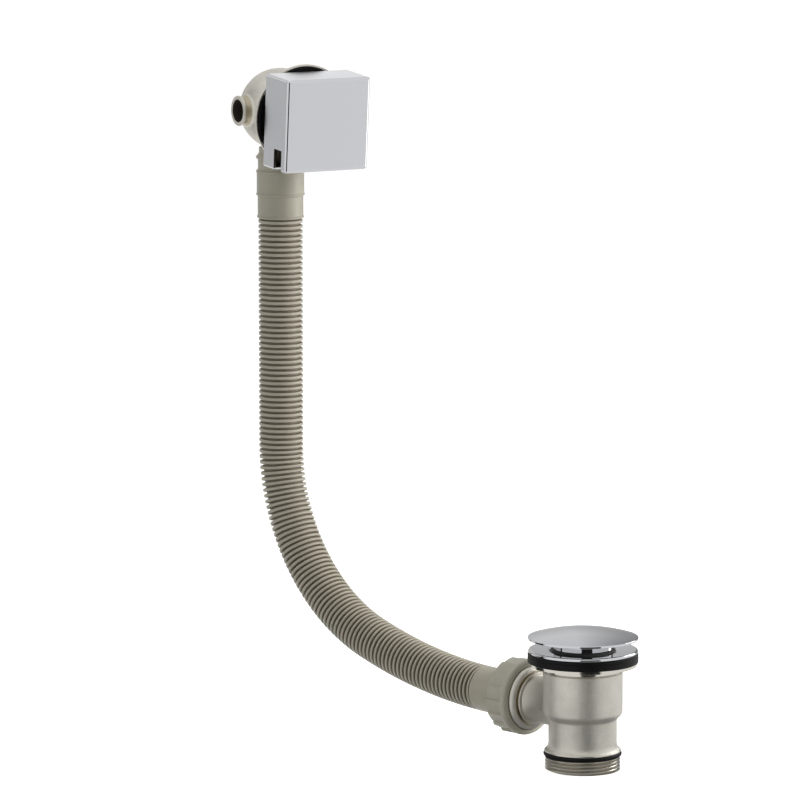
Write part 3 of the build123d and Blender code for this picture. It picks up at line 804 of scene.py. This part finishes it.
def overflow_body():
    """Cast bell: a ball with a soft waist, a thin turned lip, a tail pipe and a beaded pipe socket."""
    ball, ball_bore, tail, tail_bore = 26.98, 24.8, 12.6, 10.6
    steps = 24
    upright = (-HEAD_LEAN, 0.0, 0.0)
    outline = arc((0.0, 0.0), ball, 0.0, radians(120.8), steps)
    outline += [(22.3, 15.2), (21.7, 16.4), (21.3, 17.6), (21.2, 18.7), (21.5, 19.8), (22.2, 20.8)]
    outline += [(23.3, 21.7), (33.7, 29.65), (34.3, 30.2), (34.65, 30.9), (34.7, 31.4), (34.7, 32.3)]
    outline += [(34.6, 32.55), (34.3, 32.6), (34.3, 32.0), (33.9, 32.0), (33.85, 32.5), (33.6, 32.6)]
    outline += [(33.35, 32.4), (33.3, 31.2), (0.0, 31.2)]
    piece = level_rod("cast_overflow_body", outline)
    pipe = spun("tail", [(0.0, 0.0), (tail, 0.0), (tail, -53.0), (0.0, -53.0)])
    set_down(pipe, (0.0, 0.0, 0.0), upright)
    combine(piece, pipe, "UNION")
    socket = [(0.0, 0.0), (11.8, 0.0), (11.8, 23.9), (11.0, 24.9), (10.1, 25.7), (9.5, 26.7), (9.15, 27.9)]
    socket += [(9.1, 29.0), (9.2, 29.5), (9.6, 29.8), (10.0, 30.3), (10.0, 31.1), (9.8, 31.5), (0.0, 31.5)]
    combine(piece, level_rod("socket", socket, TOWARDS_LEFT), "UNION")
    hollow = arc((0.0, 0.0), ball_bore, 0.0, radians(130.7), steps)
    hollow += [(18.8, 20.0), (26.5, 31.2), (26.5, 34.0), (0.0, 34.0)]
    combine(piece, level_rod("hollow", hollow), "DIFFERENCE")
    tail_way = spun("tail_way", [(0.0, 0.0), (tail_bore, 0.0), (tail_bore, -54.0), (0.0, -54.0)])
    set_down(tail_way, (0.0, 0.0, 0.0), upright)
    combine(piece, tail_way, "DIFFERENCE")
    # The filling way inside the bell: a boss and a branch, bored from the mouth and from the socket
    boss = [(0.0, -12.0), (12.0, -12.0), (12.0, 29.5), (0.0, 29.5)]
    combine(piece, level_rod("boss", boss), "UNION")
    branch = [(0.0, 1.0), (9.1, 1.0), (9.1, 25.3), (0.0, 25.3)]
    combine(piece, level_rod("branch", branch, TOWARDS_LEFT), "UNION")
    front_way = [(0.0, -6.8), (6.2, -6.8), (6.2, 18.5), (9.3, 18.5), (9.3, 31.0), (0.0, 31.0)]
    combine(piece, level_rod("front_way", front_way), "DIFFERENCE")
    side_way = [(0.0, 0.3), (5.0, 0.3), (5.0, 17.5), (7.55, 17.5), (7.55, 33.0), (0.0, 33.0)]
    combine(piece, level_rod("side_way", side_way, TOWARDS_LEFT), "DIFFERENCE")
    close_up(piece)
    even_normals(piece, angle=35)
    coat(piece, [NICKEL, TURNED_NICKEL, BORE_AND_SHADE, PAINTED_SHADE_NICKEL], head_finish)
    set_down(piece, HEAD_PLACE, (HEAD_LEAN, 0.0, 0.0))
    hand_in(piece, "overflow_body")


def wall_gasket():
    """Thick rubber ring in the mouth of the bell, with a soft moulded front."""
    outline = [(26.5, 31.2), (33.2, 31.2), (33.2, 32.5), (33.0, 33.1), (32.5, 33.45), (27.2, 33.45)]
    outline += [(26.7, 33.2), (26.5, 32.7)]
    piece = spun("wall_gasket_ring", outline)
    even_normals(piece, angle=35)
    coat(piece, [RUBBER])
    set_down(piece, HEAD_PLACE, (pi / 2 + HEAD_LEAN, 0.0, 0.0))
    hand_in(piece, "wall_gasket")


def cover_finish(face):
    """Finish of one face of the cover, not yet set down: raw inside darkened as painted shade, satin flats,
    bright rounded edges.
    """
    inner_side, inner_front = 28.8 * MM, -64.7 * MM
    squareness = 0.999
    middle = face.center
    # The hollow of the cover takes the dark inside metal: painted shade
    if max(abs(middle.x), abs(middle.z)) < inner_side and middle.y > inner_front:
        return RAW_INSIDE_AND_SHADE
    if max(abs(part) for part in face.normal) > squareness:
        return COVER_CHROME
    return CHROME


def cover():
    """Square box cover with softly rounded edges, and one slot through its floor and both its sides."""
    side, depth, middle, wall, hollow_depth = 61.2, 30.0, -51.6, 1.9, 28.0
    edge_round, sill_round = 2.0, 1.5
    slot_size, slot_middle = (90.0, 10.3, 16.2), (0.0, -56.05, -24.5)
    # The sill is the slot's back edge in the floor
    sill, sill_below = -50.9 * MM, -30.0 * MM
    piece = block("square_cover", (side, depth, side), (0.0, middle, 0.0))
    at_front = [vertex.co.y < middle * MM for vertex in piece.data.vertices]
    pick(piece, "EDGE", lambda edge: any(at_front[end] for end in edge.vertices))
    bpy.ops.mesh.bevel(offset=edge_round * MM, segments=6, affect="EDGES")
    bpy.ops.object.mode_set(mode="OBJECT")
    pick(piece, "FACE", lambda face: face.normal.y > 0.9)
    bpy.ops.mesh.inset(thickness=wall * MM)
    bpy.ops.mesh.extrude_region_move(TRANSFORM_OT_translate={"value": (0.0, -hollow_depth * MM, 0.0)})
    bpy.ops.mesh.select_all(action="SELECT")
    bpy.ops.mesh.normals_make_consistent(inside=False)
    bpy.ops.object.mode_set(mode="OBJECT")
    combine(piece, block("slot", slot_size, slot_middle), "DIFFERENCE")
    at_sill = [abs(vertex.co.y - sill) < NEAR and vertex.co.z < sill_below for vertex in piece.data.vertices]
    pick(piece, "EDGE", lambda edge: all(at_sill[end] for end in edge.vertices))
    bpy.ops.mesh.bevel(offset=sill_round * MM, segments=5, affect="EDGES")
    bpy.ops.object.mode_set(mode="OBJECT")
    grub_hole = spun("grub_hole", [(0.0, -32.0), (2.1, -32.0), (2.1, -27.0), (0.0, -27.0)], sides=32)
    set_down(grub_hole, (0.0, -40.0 * MM, 0.0))
    combine(piece, grub_hole, "DIFFERENCE")
    close_up(piece)
    even_normals(piece, angle=40)
    coat(piece, [COVER_CHROME, CHROME, RAW_INSIDE_AND_SHADE], cover_finish)
    set_down(piece, HEAD_PLACE, (HEAD_LEAN, 0.0, 0.0))
    hand_in(piece, "cover")


# Studio

def camera():
    """Long lens camera that puts the aim point on its pixel."""
    right = Vector((cos(CAMERA_TURN), sin(CAMERA_TURN), 0.0))
    flat = cos(CAMERA_TILT)
    back = Vector((sin(CAMERA_TURN) * flat, -cos(CAMERA_TURN) * flat, sin(CAMERA_TILT)))
    up = back.cross(right)
    half = IMAGE_PIXELS / 2
    across = (AIM_PIXEL[0] - half) / FOCAL_PIXELS * CAMERA_DISTANCE
    rise = (half - AIM_PIXEL[1]) / FOCAL_PIXELS * CAMERA_DISTANCE
    place = AIM_POINT - right * across - up * rise + back * CAMERA_DISTANCE
    turn = Matrix((right, up, back)).transposed()
    bpy.ops.object.camera_add(location=place, rotation=turn.to_euler())
    eye = bpy.context.object
    eye.data.sensor_width = SENSOR_MM
    eye.data.sensor_fit = "HORIZONTAL"
    eye.data.lens = FOCAL_PIXELS / IMAGE_PIXELS * SENSOR_MM
    bpy.context.scene.camera = eye


def studio_direction(right_of_camera, rise):
    """Level bearing and height, in degrees, as a direction from the object."""
    bearing = CAMERA_TURN + radians(right_of_camera)
    flat = cos(radians(rise))
    return Vector((sin(bearing) * flat, -cos(bearing) * flat, sin(radians(rise))))


def world():
    """White surroundings for the eye and for mirrors, and a softer even light for dull surfaces."""
    scene_world = bpy.data.worlds.new("studio")
    bpy.context.scene.world = scene_world
    scene_world.use_nodes = True
    tree = scene_world.node_tree
    rays = add(tree, "ShaderNodeLightPath")
    seen = rays.outputs["Is Camera Ray"]
    for kind in ("Is Glossy Ray", "Is Transmission Ray"):
        either = add(tree, "ShaderNodeMath", {0: seen, 1: rays.outputs[kind]}, operation="MAXIMUM")
        seen = either.outputs[0]
    level = add(tree, "ShaderNodeMapRange", {"Value": seen, "To Min": DULL_LIGHT, "To Max": 1.0})
    light = tree.nodes["Background"]
    light.inputs["Color"].default_value = WHITE
    tree.links.new(level.outputs["Result"], light.inputs["Strength"])


def floor():
    """Pale floor that keeps the object's shadow, reads as white around it and isn't seen in mirrors."""
    low = cad_box[0][2]
    bpy.ops.mesh.primitive_plane_add(size=FLOOR_SIZE, location=(0.0, 0.0, low))
    ground = bpy.context.object
    ground.name = "studio_floor"
    ground.visible_glossy = False
    material, tree, shader = new_material("pale_studio_floor")
    rays = add(tree, "ShaderNodeLightPath")
    seen = rays.outputs["Is Camera Ray"]
    glow = add(tree, "ShaderNodeMath", {0: seen, 1: FLOOR_GLOW}, operation="MULTIPLY")
    shader.inputs["Base Color"].default_value = linear("#E8E8E8")
    shader.inputs["Roughness"].default_value = 0.9
    shader.inputs["Emission Color"].default_value = WHITE
    tree.links.new(glow.outputs[0], shader.inputs["Emission Strength"])
    ground.data.materials.append(material)


def set_glow(tree, shader, glow, fade, climb):
    """Makes a card glow, from one value to another across the fade, times the climb from low to high."""
    spot = add(tree, "ShaderNodeTexCoord")
    place = add(tree, "ShaderNodeSeparateXYZ", {"Vector": spot.outputs["Object"]})
    factors = []
    for axis, span, values in (("X", fade, glow), ("Y", CLIMB_SPAN, climb)):
        change = add(tree, "ShaderNodeMapRange", {
            "Value": place.outputs[axis], "From Min": span[0], "From Max": span[1],
            "To Min": values[0], "To Max": values[1],
        })
        factors.append(change.outputs["Result"])
    shine = add(tree, "ShaderNodeMath", {0: factors[0], 1: factors[1]}, operation="MULTIPLY")
    shader.inputs["Emission Color"].default_value = WHITE
    tree.links.new(shine.outputs[0], shader.inputs["Emission Strength"])


def card(
    name, right_of_camera, rise, distance, size, lift=0.0, glow=None, fade=(-0.5, 0.5), climb=(1.0, 1.0)
):
    """Studio card square on to the object: black for mirrors and light, or glowing for mirrors only."""
    towards = studio_direction(right_of_camera, rise)
    place = towards * distance + Vector((0.0, 0.0, lift))
    turn = towards.to_track_quat("Z", "Y").to_euler()
    bpy.ops.mesh.primitive_plane_add(size=1.0, location=place, rotation=turn)
    sheet = bpy.context.object
    sheet.name = name
    sheet.scale = (size[0], size[1], 1.0)
    sheet.visible_camera = False
    sheet.visible_shadow = glow is None
    sheet.visible_diffuse = glow is None
    material, tree, shader = new_material(name)
    shader.inputs["Base Color"].default_value = linear("#080808")
    shader.inputs["Roughness"].default_value = 0.9
    if glow:
        set_glow(tree, shader, glow, fade, climb)
    sheet.data.materials.append(material)


def studio_cards():
    """Black flags in front and to the left, and the glowing cards that only reflections show."""
    card("dark_front_flag", right_of_camera=14.0, rise=0.0, distance=2.4, size=(1.9, 4.0))
    card("dark_left_flag", right_of_camera=-106.0, rise=0.0, distance=2.4, size=(1.2, 4.0))
    card("dark_floor_card", right_of_camera=0.0, rise=-90.0, distance=0.0752, size=(0.13, 0.13),
         glow=(0.28, 0.28))
    card("grey_back_card", right_of_camera=180.0, rise=22.0, distance=2.4, size=(5.0, 2.5),
         glow=(0.26, 0.76), fade=(-0.115, 0.0), climb=(0.72, 1.06))
    card("grey_left_card", right_of_camera=-122.0, rise=0.0, distance=1.0, size=(0.8, 0.5), lift=0.27,
         glow=(0.66, 0.66))
    card("bright_head_card", right_of_camera=200.2, rise=16.5, distance=0.5, size=(0.13, 0.13), lift=0.307,
         glow=(1.15, 1.15))
    card("bright_hose_card", right_of_camera=127.7, rise=0.0, distance=0.386, size=(0.12, 0.3), lift=0.2,
         glow=(5.5, 5.5))


def lamp(name, right_of_camera, rise, size, power, distance=1.8):
    """Soft box aimed at the object and not seen in mirrors."""
    towards = studio_direction(right_of_camera, rise)
    turn = towards.to_track_quat("Z", "Y").to_euler()
    bpy.ops.object.light_add(type="AREA", location=STUDIO_MIDDLE + towards * distance, rotation=turn)
    box = bpy.context.object
    box.name = name
    box.data.shape = "RECTANGLE"
    box.data.size = size[0]
    box.data.size_y = size[1]
    box.data.energy = power
    box.visible_glossy = False


def soft_boxes():
    """Strong light from the right, a weak one from the left and one from above and behind."""
    lamp("right_soft_box", right_of_camera=78.0, rise=18.0, size=(0.7, 1.6), power=34.0)
    lamp("left_soft_box", right_of_camera=-82.0, rise=25.0, size=(0.8, 1.2), power=9.5)
    lamp("top_soft_box", right_of_camera=150.0, rise=70.0, size=(1.2, 1.2), power=10.0)


bpy.context.scene.view_settings.view_transform = "Standard"
finish_nodes()
plug_cap()
plug_seal()
waste_flange()
seals()
waste_body()
union_nut()
hose_cuff()
hose()
overflow_body()
wall_gasket()
cover()
camera()
world()
floor()
studio_cards()
soft_boxes()
